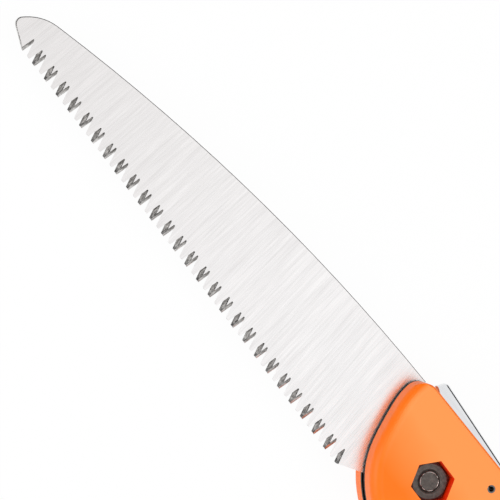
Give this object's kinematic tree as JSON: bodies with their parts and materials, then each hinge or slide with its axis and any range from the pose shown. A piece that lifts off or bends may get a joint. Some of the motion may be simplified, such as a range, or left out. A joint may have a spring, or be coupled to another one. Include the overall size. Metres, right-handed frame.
{
  "type": "folding pruning saw",
  "caption": "Folding pruning saw with a curved-back toothed blade, orange two-shell handle, pivot bolt, lock lever on the back and a hanging eyelet.",
  "frame": {"origin": "middle of the underside of the whole open saw's box, on the surface that it lies on", "axes": "+X from the blade's tip to the handle's tail, +Y from the teeth to the back, +Z from the bolt's head up to its nut"},
  "size_m": [0.4636, 0.0532, 0.024],
  "materials": {
    "shell": "moulded orange ABS, satin",
    "liner": "black",
    "grip": "moulded rubber with cross grooves",
    "black_steel": "black oxide",
    "washer": "smooth acetal",
    "pin": "plain steel",
    "spring": "blued spring steel",
    "screw": "zinc plated",
    "insert": "turned brass",
    "eyelet": "bright nickel",
    "lever": "bright chrome plate",
    "blade": "ground across its length"
  },
  "bodies": {
    "handle": {"near_shell": "shell", "far_shell": "shell", "near_liner": "liner", "far_liner": "liner", "back_strip": "liner", "near_grip": "grip", "far_grip": "grip", "pivot_bolt": "black_steel", "pivot_nut": "black_steel", "near_washer": "washer", "far_washer": "washer", "stop_pin": "pin", "lever_pin": "pin", "lever_spring": "spring", "handle_screw_1": "screw", "handle_screw_2": "screw", "handle_screw_3": "screw", "screw_insert_1": "insert", "screw_insert_2": "insert", "screw_insert_3": "insert", "tail_eyelet": "eyelet"},
    "blade": {"blade": "blade"},
    "lever": {"lock_lever": "lever", "lock_block": "pin", "block_rivet": "pin"}
  },
  "joints": [
    {"name": "blade_fold", "type": "hinge", "parent": "handle", "child": "blade", "pos_m": [-0.00831, -0.00116, 0.012], "axis": [0, 0, 1], "range_deg": [0, 174]},
    {"name": "lock_lever_tilt", "type": "hinge", "parent": "handle", "child": "lever", "pos_m": [0.00741, 0.01436, 0.012], "axis": [0, 0, -1], "range_deg": [-5, 3], "stiffness_Nm_per_rad": 0.3, "deforming": ["lever_spring"]}
  ]
}
